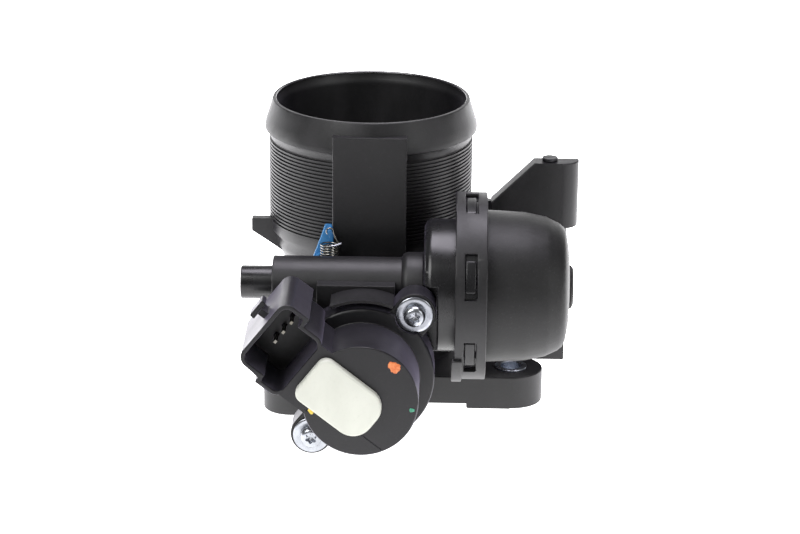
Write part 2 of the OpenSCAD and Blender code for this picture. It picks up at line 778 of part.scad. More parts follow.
module sensor_board() color([0.05, 0.35, 0.15]) {
    y_cyl(-76.7, -75.1, 14.4);
    sensor_frame(-76.7) {
        translate([-4, -4, 0]) cube([7, 7, 1.2]);
        translate([5, 2, 0]) cube([3, 5, 1]);
    }
}

module connector_pins() color([0.7, 0.7, 0.65]) {
    pin_solids();
}

module sensor_screws() color([0.7, 0.7, 0.72]) {
    sensor_frame(ear_front_y - 1) for (side = [-1, 1]) translate([0, side * ear_reach, 0]) {
        translate([0, 0, -13.5]) cylinder(h = 13.6, r = 2);
        difference() {
            union() {
                cylinder(h = 1.8, r = 3.3);
                translate([0, 0, 1.8]) cylinder(h = 0.8, r1 = 3.3, r2 = 2.5);
            }
            translate([0, 0, 1]) cylinder(h = 3, r = 1.6, $fn = 6);
        }
    }
}

module sensor_washers() color([0.8, 0.8, 0.82]) {
    sensor_frame(ear_front_y) for (side = [-1, 1]) translate([0, side * ear_reach, 0]) {
        difference() {
            cylinder(h = 1, r = 5.6);
            translate([0, 0, -1]) cylinder(h = 3, r = 2);
        }
    }
}

module sensor_sleeves() color([0.6, 0.6, 0.62]) {
    sensor_frame(chamber_front_y) for (side = [-1, 1]) translate([0, side * ear_reach, 0]) {
        difference() {
            cylinder(h = chamber_front_y - ear_front_y, r = 3.2);
            translate([0, 0, -1]) cylinder(h = 12, r = 2);
        }
    }
}

throttle_housing();
mounting_sleeves();
flange_seal();
bracket_stud();
throttle_shaft();
throttle_plate();
plate_screws();
front_bearing();
rear_bearing();
gear_end_bush();
shaft_seal();
rear_bore_plug();
sector_gear();
gear_nut();
spring_lever();
take_up_spring();
spring_hanger();
rack_rod();
vent_nipple();
capsule_base();
lock_ring();
capsule_cover();
cover_plug();
vacuum_nipple();
diaphragm();
diaphragm_plate();
diaphragm_piston();
rod_nut();
capsule_spring();
sensor_body();
sensor_cover();
sensor_vent_cap();
sensor_seal();
sensor_rotor();
rotor_magnet();
sensor_board();
connector_pins();
sensor_screws();
sensor_washers();
sensor_sleeves();
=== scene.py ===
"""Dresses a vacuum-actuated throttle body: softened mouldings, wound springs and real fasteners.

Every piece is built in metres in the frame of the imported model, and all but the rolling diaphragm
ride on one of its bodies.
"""

import logging
import math
from dataclasses import dataclass, field
from enum import Enum
from functools import lru_cache
from typing import Any, Callable, Iterable, Optional, Sequence, Union

import bmesh
import bpy
from bmesh.types import BMesh
from mathutils import Matrix, Vector
from mathutils.bvhtree import BVHTree


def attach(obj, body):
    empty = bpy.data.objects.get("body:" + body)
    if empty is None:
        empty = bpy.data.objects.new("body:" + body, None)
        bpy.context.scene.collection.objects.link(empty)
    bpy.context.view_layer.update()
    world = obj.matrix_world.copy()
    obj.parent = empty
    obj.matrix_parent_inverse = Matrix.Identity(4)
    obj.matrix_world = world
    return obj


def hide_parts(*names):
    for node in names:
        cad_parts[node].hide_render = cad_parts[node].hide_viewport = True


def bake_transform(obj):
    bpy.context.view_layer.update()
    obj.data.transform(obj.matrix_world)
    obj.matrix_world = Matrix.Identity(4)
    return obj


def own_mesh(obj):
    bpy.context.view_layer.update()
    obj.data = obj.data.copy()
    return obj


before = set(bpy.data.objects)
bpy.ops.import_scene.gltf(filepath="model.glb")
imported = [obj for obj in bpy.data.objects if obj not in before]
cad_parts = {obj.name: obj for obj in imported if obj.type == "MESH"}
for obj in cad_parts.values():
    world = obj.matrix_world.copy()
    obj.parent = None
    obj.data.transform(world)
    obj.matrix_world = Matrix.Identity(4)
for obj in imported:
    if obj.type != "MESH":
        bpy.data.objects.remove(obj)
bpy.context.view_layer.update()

log = logging.getLogger("throttle_body")

Tree = bpy.types.NodeTree
Socket = bpy.types.NodeSocket
Piece = bpy.types.Object
RingRadius = Callable[[float], float]

MM = 0.001
# Height of the shaft's axis and the axis of the rod's tube, in millimetres.
SHAFT_Z = 26.0
TUBE_Y, TUBE_Z = -51.0, 47.5
# Turn of the sensor about the shaft, in degrees.
SENSOR_TILT = 38.2
# Facets round a screw or a paint mark.
RING_STEPS = 48


class Axis(Enum):
    """Direction that a turned or wound part is made about."""

    X = (1.0, 0.0, 0.0)
    Z = (0.0, 0.0, 1.0)


class Body(Enum):
    """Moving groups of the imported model."""

    HOUSING = "body"
    THROTTLE = "throttle"
    RACK = "rack"


# ------------------------------------------------------------------ shading


def linear(shade: str) -> tuple[float, float, float, float]:
    """Turns an sRGB hex value into a linear colour.

    Args:
        shade: Colour written as "#RRGGBB".

    Returns:
        Linear red, green, blue and an alpha of one.
    """
    levels = [int(shade[i : i + 2], 16) / 255 for i in (1, 3, 5)]
    red, green, blue = (c / 12.92 if c <= 0.04045 else ((c + 0.055) / 1.055) ** 2.4 for c in levels)
    return (red, green, blue, 1.0)


def per_metre(size_mm: float) -> float:
    """Noise scale whose features are about size_mm across."""
    return 1.0 / (size_mm * MM)


def add_node(
    tree: Tree,
    kind: str,
    settings: Optional[dict[str, Any]] = None,
    values: Optional[dict[Any, Any]] = None,
    links: Optional[dict[Any, Socket]] = None,
) -> bpy.types.Node:
    """Adds a shader node with its settings, socket values and incoming links.

    Args:
        tree: Node tree that takes the node.
        kind: Blender's name of the node type.
        settings: Attributes of the node.
        values: Constant inputs by socket name or index.
        links: Incoming sockets by input name or index.

    Returns:
        The new node.
    """
    node = tree.nodes.new(kind)
    for key, value in (settings or {}).items():
        setattr(node, key, value)
    for key, value in (values or {}).items():
        node.inputs[key].default_value = value
    for key, socket in (links or {}).items():
        tree.links.new(socket, node.inputs[key])
    return node


def new_material(name: str) -> tuple[bpy.types.Material, Tree]:
    """Empty node material and its tree."""
    material = bpy.data.materials.new(name)
    material.use_nodes = True
    material.node_tree.nodes.clear()
    return material, material.node_tree


def object_coords(tree: Tree, stretch: Sequence[float] = (1, 1, 1)) -> Socket:
    """Object coordinates, scaled along each axis.

    Args:
        tree: Node tree of the material.
        stretch: Scale along X, Y and Z.

    Returns:
        Vector socket of the mapped coordinates.
    """
    coords = add_node(tree, "ShaderNodeTexCoord").outputs["Object"]
    values, links = {"Scale": stretch}, {"Vector": coords}
    return add_node(tree, "ShaderNodeMapping", values=values, links=links).outputs["Vector"]


def cloud(
    tree: Tree, vector: Socket, size_mm: float, detail: float = 3.0, rough: float = 0.5
) -> Socket:
    """Noise value with features of size_mm.

    Args:
        tree: Node tree of the material.
        vector: Coordinates that the noise reads.
        size_mm: Width of the largest features.
        detail: Octaves of finer noise.
        rough: Strength of the finer octaves.

    Returns:
        Value socket between about 0.2 and 0.8.
    """
    noise = add_node(
        tree,
        "ShaderNodeTexNoise",
        values={"Scale": per_metre(size_mm), "Detail": detail, "Roughness": rough},
        links={"Vector": vector},
    )
    return noise.outputs[0]


def remap(
    tree: Tree, value: Socket, low: float, high: float, to_low: float, to_high: float
) -> Socket:
    """Value taken from one range to another, held at its ends.

    Args:
        tree: Node tree of the material.
        value: Incoming value.
        low: Value that becomes to_low.
        high: Value that becomes to_high.
        to_low: Result at the low end.
        to_high: Result at the high end.

    Returns:
        Value socket of the result.
    """
    node = add_node(
        tree,
        "ShaderNodeMapRange",
        values={"From Min": low, "From Max": high, "To Min": to_low, "To Max": to_high},
        links={"Value": value},
    )
    return node.outputs[0]


def swung(tree: Tree, noise: Socket, middle: float, swing: float) -> Socket:
    """Roughness that a noise value swings about its middle."""
    return remap(tree, noise, 0.3, 0.7, middle - swing, middle + swing)


def blend_colours(
    tree: Tree, factor: Socket, first: Any, second: Any
) -> Socket:
    """Mix of two colours by a factor.

    Args:
        tree: Node tree of the material.
        factor: Share of the second colour.
        first: Hex shade or colour socket.
        second: Hex shade or colour socket.

    Returns:
        Colour socket of the mix.
    """
    values: dict[Any, Any] = {}
    links: dict[Any, Socket] = {0: factor}
    for index, entry in ((6, first), (7, second)):
        if isinstance(entry, str):
            values[index] = linear(entry)
        else:
            links[index] = entry
    return add_node(tree, "ShaderNodeMix", {"data_type": "RGBA"}, values, links).outputs[2]


def layered_bump(tree: Tree, layers: Iterable[tuple[Socket, float]]) -> Socket:
    """Bump built from several heights.

    Args:
        tree: Node tree of the material.
        layers: Height sockets, each with its depth in millimetres.

    Returns:
        Normal socket of the last bump.
    """
    normal: Optional[Socket] = None
    for height, depth_mm in layers:
        links = {"Height": height}
        if normal is not None:
            links["Normal"] = normal
        values = {"Strength": 1.0, "Distance": depth_mm * MM}
        normal = add_node(tree, "ShaderNodeBump", values=values, links=links).outputs["Normal"]
    assert normal is not None
    return normal


def finish_shader(
    tree: Tree, values: dict[str, Any], links: dict[str, Socket]
) -> None:
    """Ends a tree with a Principled shader into the surface output.

    Args:
        tree: Node tree of the material.
        values: Constant inputs of the shader.
        links: Incoming sockets of the shader.
    """
    shader = add_node(tree, "ShaderNodeBsdfPrincipled", values=values, links=links)
    add_node(tree, "ShaderNodeOutputMaterial", links={"Surface": shader.outputs[0]})


@dataclass(frozen=True)
class MouldedResin:
    """Injection-moulded plastic or rubber: cloudy colour, fine tool grain, sink waves and rubs."""

    name: str
    shade: str
    bloom: str
    roughness: float
    swing: float = 0.06
    grain_mm: float = 0.5
    grain_depth: float = 0.02
    sink_mm: float = 14.0
    sink_depth: float = 0.08
    specular: float = 0.5
    ior: float = 1.5
    scuff: str = "#2E2C2E"
    scuff_share: float = 0.25
    cloud_mm: float = 9.0
    coat: float = 0.0
    sheen: float = 0.0
    sheen_tint: str = "#C8C0DC"
    flow: tuple[float, float, float] = (1.0, 1.0, 0.45)

    @lru_cache(maxsize=None)
    def material(self) -> bpy.types.Material:
        """Builds the material once.

        Returns:
            The node material.
        """
        material, tree = new_material(self.name)
        plain = object_coords(tree)
        drawn = object_coords(tree, self.flow)
        clouds = cloud(tree, drawn, self.cloud_mm, 4.0, 0.55)
        specks = cloud(tree, plain, self.grain_mm * 1.6, 2.0, 0.6)
        grain = cloud(tree, plain, self.grain_mm, 2.0, 0.5)
        sink = cloud(tree, plain, self.sink_mm, 1.0, 0.4)
        bloomed = remap(tree, clouds, 0.35, 0.68, 0.0, 1.0)
        colour = blend_colours(tree, bloomed, self.shade, self.bloom)
        rubbed = remap(tree, specks, 0.58, 0.78, 0.0, self.scuff_share)
        colour = blend_colours(tree, rubbed, colour, self.scuff)
        rough = swung(tree, clouds, self.roughness, self.swing)
        normal = layered_bump(tree, [(sink, self.sink_depth), (grain, self.grain_depth)])
        finish_shader(
            tree,
            {"IOR": self.ior, "Specular IOR Level": self.specular,
             "Coat Weight": self.coat, "Coat Roughness": 0.2,
             "Sheen Weight": self.sheen, "Sheen Roughness": 0.4,
             "Sheen Tint": linear(self.sheen_tint)},
            {"Base Color": colour, "Roughness": rough, "Normal": normal},
        )
        return material


@dataclass(frozen=True)
class WorkedMetal:
    """Plated, ground or drawn metal: directional tool marks, faint tarnish and handling smears."""

    name: str
    shade: str
    tarnish: str
    roughness: float
    swing: float = 0.08
    mark_mm: float = 0.25
    mark_depth: float = 0.004
    draw: tuple[float, float, float] = (1.0, 1.0, 1.0)
    metallic: float = 1.0
    smear_mm: float = 3.5
    tarnish_share: float = 0.5

    @lru_cache(maxsize=None)
    def material(self) -> bpy.types.Material:
        """Builds the material once.

        Returns:
            The node material.
        """
        material, tree = new_material(self.name)
        plain = object_coords(tree)
        drawn = object_coords(tree, self.draw)
        marks = cloud(tree, drawn, self.mark_mm, 3.0, 0.6)
        smears = cloud(tree, plain, self.smear_mm, 4.0, 0.6)
        tarnished = remap(tree, smears, 0.42, 0.72, 0.0, self.tarnish_share)
        colour = blend_colours(tree, tarnished, self.shade, self.tarnish)
        rough = swung(tree, smears, self.roughness, self.swing)
        normal = layered_bump(tree, [(marks, self.mark_depth)])
        finish_shader(
            tree,
            {"Metallic": self.metallic},
            {"Base Color": colour, "Roughness": rough, "Normal": normal},
        )
        return material


@dataclass(frozen=True)
class PaintDab:
    """Hand-dabbed marking paint: uneven film with brush ridges."""

    name: str
    shade: str
    thin: str
    roughness: float = 0.45
    swing: float = 0.1
    film_mm: float = 0.9
    ridge_mm: float = 0.5
    ridge_depth: float = 0.03

    @lru_cache(maxsize=None)
    def material(self) -> bpy.types.Material:
        """Builds the material once.

        Returns:
            The node material.
        """
        material, tree = new_material(self.name)
        film = cloud(tree, object_coords(tree), self.film_mm, 4.0, 0.6)
        ridges = cloud(tree, object_coords(tree, (1.0, 1.0, 3.0)), self.ridge_mm, 2.0, 0.5)
        colour = blend_colours(tree, remap(tree, film, 0.4, 0.7, 0.0, 1.0), self.shade, self.thin)
        rough = swung(tree, film, self.roughness, self.swing)
        normal = layered_bump(tree, [(ridges, self.ridge_depth)])
        finish_shader(tree, {}, {"Base Color": colour, "Roughness": rough, "Normal": normal})
        return material


# Glass-filled polyamide 6.6 from a spark-eroded tool: matte charcoal, a pale bloom at the skin.
BLACK_PA = MouldedResin(
    "moulded_glass_filled_PA_black", "#101011", "#171618", 0.46, grain_mm=0.45, grain_depth=0.025,
    sheen=0.05,
)
# The same resin in a polished tool: a soft gloss that shows long edge reflections.
GLOSS_PA = MouldedResin(
    "moulded_PA_black_polished", "#0D0D0E", "#131315", 0.28, swing=0.05, grain_depth=0.008,
    sink_depth=0.05, scuff_share=0.15, sheen=0.08,
)
# The witness bead of the inlet, burnished by the core pin: the glossiest skin on the part. Its
# shade, lighter than the housing's, is a painted highlight along the rim; its gloss catches the
# rest of the line from the lamps.
GLOSS_AND_PAINTED_HIGHLIGHT_PA = MouldedResin(
    "moulded_PA_black_gloss_painted_highlight", "#1C1C1E", "#242426", 0.14, swing=0.03, grain_depth=0.002,
    sink_depth=0.01, specular=1.0, scuff_share=0.1, coat=1.0, sheen=0.2,
)
# Glass-filled PBT of the sensor: fine even grain and a satin sheen.
SENSOR_PBT = MouldedResin(
    "moulded_PBT_black_satin", "#0B0B0C", "#101012", 0.38, swing=0.05, grain_mm=0.4,
    grain_depth=0.018, scuff_share=0.2, sheen=0.3, specular=0.42,
)
# Fine-textured cover: the finest grain on the part, so its highlight spreads wide.
COVER_PA = MouldedResin(
    "moulded_PA_black_fine_texture", "#0E0E0E", "#131313", 0.5, swing=0.03, grain_mm=0.35,
    grain_depth=0.03, sink_depth=0.03, scuff="#343434", scuff_share=0.35, specular=0.4,
)
# Polyacetal of the gearing: waxy ivory, a little translucent.
IVORY_POM = MouldedResin(
    "moulded_POM_natural", "#D8D2BE", "#E2DDCC", 0.38, grain_depth=0.006, sink_depth=0.03,
    scuff="#8C8672",
)
# Phenolic piston: dull grey-brown with a mottled skin.
GREY_PISTON = MouldedResin(
    "moulded_PA_grey_piston", "#4C4C4A", "#5A5A57", 0.5, scuff="#6E6E6A", scuff_share=0.2,
)
# Blue PBT of the spring post: strong colour under a smooth gloss.
BLUE_PBT = MouldedResin(
    "moulded_PBT_blue_gloss", "#2A6CA8", "#4C8DC4", 0.2, swing=0.05, grain_depth=0.004, sink_mm=5.0,
    sink_depth=0.12, specular=0.6, scuff="#9CC4E4", scuff_share=0.35,
)
# White PBT of the membrane cap: warm off-white with a soft satin skin.
WHITE_PBT = MouldedResin(
    "moulded_PBT_white_satin", "#C4C6BB", "#CDCFC4", 0.42, grain_depth=0.006, sink_depth=0.05,
    scuff="#B9BBAE", scuff_share=0.3,
)
# Nitrile rubber: dead matte black with a dusty bloom.
NITRILE = MouldedResin(
    "moulded_nitrile_rubber", "#121212", "#222120", 0.68, grain_depth=0.012, scuff="#3A3836",
    scuff_share=0.4,
)
# Silicone seal of the sensor: brick red, waxy.
RED_SILICONE = MouldedResin(
    "moulded_silicone_red", "#7A2A18", "#8C3521", 0.5, grain_depth=0.006, scuff="#A6533E",
    scuff_share=0.2,
)
# FR4 laminate under solder mask: even green gloss over a faint weave.
BOARD_FR4 = MouldedResin(
    "laminated_FR4_green_mask", "#0E4A22", "#14582B", 0.3, grain_mm=0.6, grain_depth=0.01,
    scuff="#2C7A46", scuff_share=0.2,
)
# Bright zinc plating over pressed steel: cool silver with a blue cast and fine drawing marks.
ZINC_STEEL = WorkedMetal("zinc_plated_steel", "#B4B7BD", "#7F838A", 0.24, mark_mm=0.3)
# Cold-drawn tube of the bolt sleeves: lathe-faced ends and a bluish bore.
DRAWN_TUBE = WorkedMetal(
    "zinc_plated_drawn_tube", "#BFC3CB", "#7E8591", 0.28, mark_mm=0.35, mark_depth=0.006,
    draw=(1.0, 1.0, 0.15),
)
# Centreless-ground shaft steel: fine rings round the shaft.
GROUND_STEEL = WorkedMetal(
    "centreless_ground_steel", "#B4B4B6", "#8A8886", 0.26, mark_depth=0.003, draw=(0.2, 1.0, 0.2),
)
# Phosphated steel: dark grey, almost no gloss.
PHOSPHATED_STEEL = WorkedMetal(
    "phosphated_steel_dark", "#4B4B4E", "#2C2B2B", 0.46, mark_mm=0.3, mark_depth=0.01,
    tarnish_share=0.7,
)
# Oil-tempered spring wire: dark with a narrow bright line along each turn.
SPRING_WIRE = WorkedMetal(
    "oil_tempered_spring_wire", "#A3A19C", "#5A554D", 0.24, mark_mm=0.2, mark_depth=0.003,
    tarnish_share=0.6,
)
# Rolled brass sheet: pale gold with rolling marks along the sheet.
ROLLED_BRASS = WorkedMetal(
    "rolled_brass_sheet", "#B9A36B", "#8C7748", 0.32, mark_mm=0.4, draw=(1.0, 0.15, 1.0),
)
# Sintered bronze: brown-gold with open pores.
SINTERED_BRONZE = WorkedMetal(
    "sintered_bronze", "#8E6E42", "#5E4526", 0.5, mark_mm=0.3, mark_depth=0.02,
)
# Hard ferrite: grey-black ceramic with ground faces.
FERRITE = WorkedMetal("ground_ferrite", "#3A3A3C", "#252526", 0.42, mark_mm=0.3, metallic=0.6)
# Tin over phosphor bronze: soft silver, a little yellow where it is thin.
TINNED_BRONZE = WorkedMetal("tin_plated_bronze", "#8E8C84", "#6E674E", 0.36, mark_depth=0.003)
# Marking paints, thick in the middle and thin at the rim.
ORANGE_PAINT = PaintDab("marking_paint_orange", "#C9642F", "#E08A52")
GREEN_PAINT = PaintDab("marking_paint_green", "#2F7E62", "#4A9A7C")
YELLOW_PAINT = PaintDab("marking_paint_yellow", "#D8B93A", "#E6CC62")

Finish = Union[MouldedResin, WorkedMetal, PaintDab]


# ------------------------------------------------------------------ meshes


def add_object(name: str, data: Any) -> Piece:
    """New object of some data, linked to the scene."""
    made = bpy.data.objects.new(name, data)
    bpy.context.scene.collection.objects.link(made)
    return made


def object_from(bm: BMesh, name: str, finish: Finish, smooth_under: float = 40.0) -> Piece:
    """Turns a bmesh into a shaded object of the scene.

    Args:
        bm: Finished mesh, which is freed.
        name: Name of the piece.
        finish: Finish that dresses it.
        smooth_under: Edges that bend less than this many degrees are shaded smooth.

    Returns:
        The new object, at the origin.
    """
    for face in bm.faces:
        face.smooth = True
    for edge in bm.edges:
        bent = len(edge.link_faces) == 2 and edge.calc_face_angle(0.0) > math.radians(smooth_under)
        edge.smooth = not bent
    mesh = bpy.data.meshes.new(name)
    bm.to_mesh(mesh)
    bm.free()
    mesh.materials.append(finish.material())
    return add_object(name, mesh)


def settle(
    piece: Piece, body: Body, replaced: Sequence[str] = (), weighted: bool = True
) -> None:
    """Puts a piece on its body and hides the CAD nodes that it stands for.

    Args:
        piece: Object to settle.
        body: Body that carries it.
        replaced: CAD nodes that it stands for.
        weighted: Whether large faces rule the shading of the small ones beside them.
    """
    if weighted:
        normals = piece.modifiers.new("flat_faces_first", "WEIGHTED_NORMAL")
        normals.keep_sharp = True
        normals.weight = 60
    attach(piece, body.value)
    if replaced:
        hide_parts(*replaced)


def spin_profile(
    profile: Sequence[tuple[float, float]], axis: Axis, centre: Sequence[float], steps: int = 128
) -> BMesh:
    """Turns a closed profile about an axis with the spin operator.

    Args:
        profile: Stations along the axis and radii, in millimetres.
        axis: Axis of the turned part.
        centre: A point of the axis in millimetres.
        steps: Facets round the part.

    Returns:
        A closed mesh in metres.
    """
    along = Vector(axis.value)
    across = Vector((0, 0, 1)) if axis is not Axis.Z else Vector((1, 0, 0))
    origin = Vector(centre)
    bm = bmesh.new()
    verts = [bm.verts.new((origin + along * s + across * r) * MM) for s, r in profile]
    edges = [bm.edges.new(pair) for pair in zip(verts, verts[1:] + verts[:1])]
    bmesh.ops.spin(
        bm, geom=verts + edges, cent=origin * MM, axis=along, angle=math.tau, steps=steps,
        use_merge=True,
    )
    bmesh.ops.remove_doubles(bm, verts=bm.verts, dist=1e-7)
    bmesh.ops.dissolve_degenerate(bm, edges=bm.edges, dist=1e-8)
    bmesh.ops.recalc_face_normals(bm, faces=bm.faces)
    return bm


def wire_along(points: Sequence[Vector], radius_mm: float, name: str, finish: Finish) -> Piece:
    """Round wire along a path, ended in flat cut faces.

    Args:
        points: Path in millimetres.
        radius_mm: Radius of the wire.
        name: Name of the piece.
        finish: Finish that dresses it.

    Returns:
        The wire as a mesh object.
    """
    curve = bpy.data.curves.new(name + "_path", "CURVE")
    curve.dimensions = "3D"
    curve.bevel_depth = radius_mm * MM
    curve.bevel_resolution = 3
    curve.use_fill_caps = True
    curve.twist_mode = "MINIMUM"
    spline = curve.splines.new("POLY")
    spline.points.add(len(points) - 1)
    for slot, point in zip(spline.points, points):
        slot.co = (*(point * MM), 1.0)
    holder = add_object(name + "_path", curve)
    bpy.context.view_layer.update()
    graph = bpy.context.evaluated_depsgraph_get()
    mesh = bpy.data.meshes.new_from_object(holder.evaluated_get(graph))
    bpy.data.objects.remove(holder)
    bpy.data.curves.remove(curve)
    bm = bmesh.new()
    bm.from_mesh(mesh)
    bpy.data.meshes.remove(mesh)
    bmesh.ops.remove_doubles(bm, verts=bm.verts, dist=1e-7)
    bmesh.ops.recalc_face_normals(bm, faces=bm.faces)
    return object_from(bm, name, finish)


def sensor_place(a: float, b: float, y: float) -> Vector:
    """Point of the tilted sensor.

    Args:
        a: Millimetres across the connector.
        b: Millimetres towards the upper screw.
        y: Station along the shaft axis in millimetres.

    Returns:
        The point in metres.
    """
    turn = math.radians(SENSOR_TILT)
    x = a * math.cos(turn) + b * math.sin(turn)
    z = SHAFT_Z - a * math.sin(turn) + b * math.cos(turn)
    return Vector((x, y, z)) * MM


def sensor_matrix(a: float, b: float, y: float) -> Matrix:
    """Frame with X across the connector, Y towards the upper screw and Z out of the sensor's face.

    Args:
        a: Millimetres across the connector.
        b: Millimetres towards the upper screw.
        y: Station along the shaft axis in millimetres.

    Returns:
        A rigid transform in metres.
    """
    origin = sensor_place(a, b, y)
    right = (sensor_place(a + 1, b, y) - origin).normalized()
    up = (sensor_place(a, b + 1, y) - origin).normalized()
    laid = Matrix((right, up, Vector((0, -1, 0)))).transposed().to_4x4()
    laid.translation = origin
    return laid


def seat_on_sensor(bm: BMesh, a: float, b: float, y: float) -> None:
    """Moves a mesh from the origin to a place of the sensor, facing out of it."""
    bmesh.ops.transform(bm, matrix=sensor_matrix(a, b, y), verts=bm.verts)
    bmesh.ops.recalc_face_normals(bm, faces=bm.faces)


def ring_stack(rings: Sequence[tuple[RingRadius, float]]) -> BMesh:
    """Lofts rings one on another by extruding their edges, and closes both ends.

    Args:
        rings: For each ring, its radius by angle and its height, in millimetres.

    Returns:
        The mesh about the Z axis, in metres.
    """
    bm = bmesh.new()
    fresh = bmesh.ops.create_circle(bm, segments=RING_STEPS, radius=1.0, cap_ends=False)["verts"]
    first_edges = list({edge for vert in fresh for edge in vert.link_edges})
    edges = first_edges
    for index, (radius, height) in enumerate(rings):
        if index:
            made = bmesh.ops.extrude_edge_only(bm, edges=edges)["geom"]
            fresh = [item for item in made if isinstance(item, bmesh.types.BMVert)]
            edges = [item for item in made if isinstance(item, bmesh.types.BMEdge)
                     and all(vert in fresh for vert in item.verts)]
        angles = {vert: math.atan2(vert.co.y, vert.co.x) for vert in fresh}
        for vert, angle in angles.items():
            reach = radius(angle) * MM
            vert.co = (reach * math.cos(angle), reach * math.sin(angle), height * MM)
    bmesh.ops.contextual_create(bm, geom=edges)
    bmesh.ops.contextual_create(bm, geom=first_edges)
    bmesh.ops.recalc_face_normals(bm, faces=bm.faces)
    return bm


def even(radius: float) -> RingRadius:
    """Round ring of one radius."""
    return lambda angle: radius


# ------------------------------------------------------------------ softened CAD parts


@dataclass
class SoftenedPart:
    """Copy of a CAD node whose arrises are broken, as a mould or a tumbling drum leaves them."""

    node: str
    body: Body
    finish: Finish
    slot: str
    arris: float = 0.35
    segments: int = 2
    left_sharp: Callable[[Vector], bool] = field(default=lambda middle: False)
    flat_under: float = math.radians(0.4)
    sharp_over: float = math.radians(28.0)
    acute_under: float = math.radians(28.0)
    open_over: float = math.radians(140.0)
    least_edge: float = 0.12
    room_share: float = 1.15
    width_share: float = 2.1
    facing_over: float = 0.3
    stray_share: float = 1.2

    def build(self) -> None:
        """Merges, dissolves and bevels the copy, and settles it in the node's place."""
        log.info("softened %s", self.node)
        bm = bmesh.new()
        bm.from_mesh(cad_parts[self.node].data)
        bmesh.ops.remove_doubles(bm, verts=bm.verts, dist=2e-6)
        bmesh.ops.dissolve_limit(bm, angle_limit=self.flat_under, verts=bm.verts, edges=bm.edges)
        original = BVHTree.FromBMesh(bm)
        edges = [edge for edge in bm.edges if self.wants_bevel(edge)]
        bmesh.ops.bevel(
            bm, geom=edges, offset=self.arris * MM, offset_type="OFFSET", affect="EDGES",
            segments=self.segments, profile=0.5, material=-1, clamp_overlap=False,
            miter_outer="SHARP", miter_inner="SHARP",
        )
        for vert in bm.verts:
            near, _, _, distance = original.find_nearest(vert.co)
            if near is not None and distance > self.stray_share * self.arris * MM:
                vert.co = near
        bmesh.ops.remove_doubles(bm, verts=bm.verts, dist=1e-6)
        bmesh.ops.dissolve_degenerate(bm, edges=bm.edges, dist=1e-7)
        piece = object_from(bm, self.node + "_softened", self.finish, 45.0)
        settle(piece, self.body, [self.node])

    def wants_bevel(self, edge: bmesh.types.BMEdge) -> bool:
        """Whether an edge is a real arris, long enough to break.

        Args:
            edge: Edge of the merged copy.

        Returns:
            True for an arris.
        """
        if len(edge.link_faces) != 2 or edge.calc_length() < self.least_edge * MM:
            return False
        if edge.calc_face_angle(0.0) < self.sharp_over:
            return False
        middle = (edge.verts[0].co + edge.verts[1].co) * (0.5 / MM)
        return self.has_room(edge) and not self.left_sharp(middle) and self.has_width(edge)

    def has_room(self, edge: bmesh.types.BMEdge) -> bool:
        """Whether the faces beside an edge leave room for the bevel at both of its ends.

        Args:
            edge: Edge of the merged copy.

        Returns:
            False where a corner is too acute or the next edge is too short.
        """
        for vert in edge.verts:
            for loop in vert.link_loops:
                if loop.face not in edge.link_faces:
                    continue
                corner = loop.calc_angle()
                neighbour = loop.edge if loop.edge is not edge else loop.link_loop_prev.edge
                tight = neighbour.calc_length() < self.room_share * self.arris * MM
                if corner < self.acute_under or (corner < self.open_over and tight):
                    return False
        return True

    def has_width(self, edge: bmesh.types.BMEdge) -> bool:
        """Whether the faces beside an edge are wide enough for the bevels of both of their sides.

        Args:
            edge: Edge of the merged copy.

        Returns:
            False on a strip too narrow to be broken.
        """
        for loop in edge.link_loops:
            start, end = loop.vert.co, loop.link_loop_next.vert.co
            along = (end - start).normalized()
            ends = (start, end, (start + end) / 2)
            for other in loop.face.loops:
                first, last = other.vert.co, other.link_loop_next.vert.co
                facing = (first - last).dot(along)
                if other.edge is edge or facing < self.facing_over * (last - first).length:
                    continue
                if reach_between(ends, first, last) < self.width_share * self.arris * MM:
                    return False
        return True


def reach_between(ends: Sequence[Vector], first: Vector, last: Vector) -> float:
    """Shortest distance from some points to a segment.

    Args:
        ends: Points to measure from.
        first: Start of the segment.
        last: End of the segment.

    Returns:
        The distance in the unit of the points.
    """
    line = last - first
    length = max(line.length_squared, 1e-18)
    shares = (min(max((point - first).dot(line) / length, 0.0), 1.0) for point in ends)
    return min((point - first - line * share).length for point, share in zip(ends, shares))


def soften(body: Body, rows: Iterable[tuple[str, Finish, str, float, int]]) -> None:
    """Builds the softened copies of some nodes of one body, in order.

    Args:
        body: Body that carries them.
        rows: For each node its name, finish, slot, arris in millimetres and bevel segments.
    """
    for node, finish, slot, arris, segments in rows:
        SoftenedPart(node, body, finish, slot, arris, segments).build()


def on_hose_ribs(middle: Vector) -> bool:
    """Whether a point in millimetres is on the hose ribs, whose crests are too thin to bevel."""
    on_crests = 31.0 < math.hypot(middle.x, middle.y) < 33.0
    return on_crests and 52.0 < middle.z < 80.9 and middle.y > -33.3


